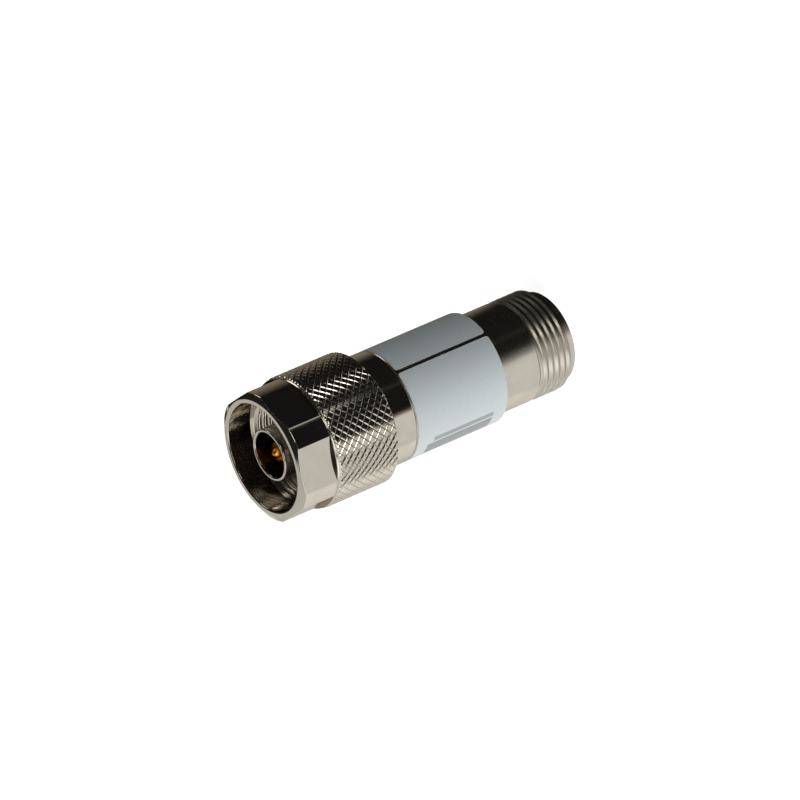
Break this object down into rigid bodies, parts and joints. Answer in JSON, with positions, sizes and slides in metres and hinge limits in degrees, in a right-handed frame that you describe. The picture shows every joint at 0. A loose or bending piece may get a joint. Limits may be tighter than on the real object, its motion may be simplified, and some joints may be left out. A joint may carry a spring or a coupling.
{
  "type": "rf attenuator",
  "caption": "Fixed in-line coaxial attenuator with a knurled coupling nut and pin contact at one end, a labelled barrel, and a threaded jack with a slotted socket at the other.",
  "frame": {"origin": "centre of the jack face, on which the part stands", "axes": "+Z along the connector axis, from the jack face up to the mouth of the coupling nut; the nut's flats are centred 4.5 degrees round from +X"},
  "size_m": [0.0204, 0.0204, 0.0521],
  "materials": {
    "nickel_body": "bright nickel plating over turned brass",
    "nickel_shell": "bright nickel plating over turned brass",
    "nickel_nut": "bright nickel plating over knurled brass",
    "nickel_inner": "satin nickel plating over turned brass",
    "gold_contact": "gold plating over turned brass",
    "spring_bronze": "bare spring bronze",
    "seal_rubber": "matte silicone rubber",
    "white_bead": "satin white fluoropolymer",
    "chip_ceramic": "matte alumina with a dark resistive film",
    "label_film": "semi-gloss pale blue-grey film"
  },
  "bodies": {
    "body": {"main_body": "nickel_body", "label": "label_film", "plug_shell": "nickel_shell", "gasket": "seal_rubber", "plug_pin": "gold_contact", "plug_bead": "white_bead", "plug_liner": "nickel_inner", "jack_socket": "gold_contact", "jack_bead": "white_bead", "jack_bead_ring": "nickel_inner", "attenuator_chip": "chip_ceramic", "carrier_half_a": "nickel_inner", "carrier_half_b": "nickel_inner"},
    "nut": {"coupling_nut": "nickel_nut", "snap_ring": "spring_bronze"}
  },
  "joints": [
    {"name": "nut_spin", "type": "hinge", "parent": "body", "child": "nut", "pos_m": [0, 0, 0.0435], "axis": [0, 0, 1], "continuous": true}
  ]
}
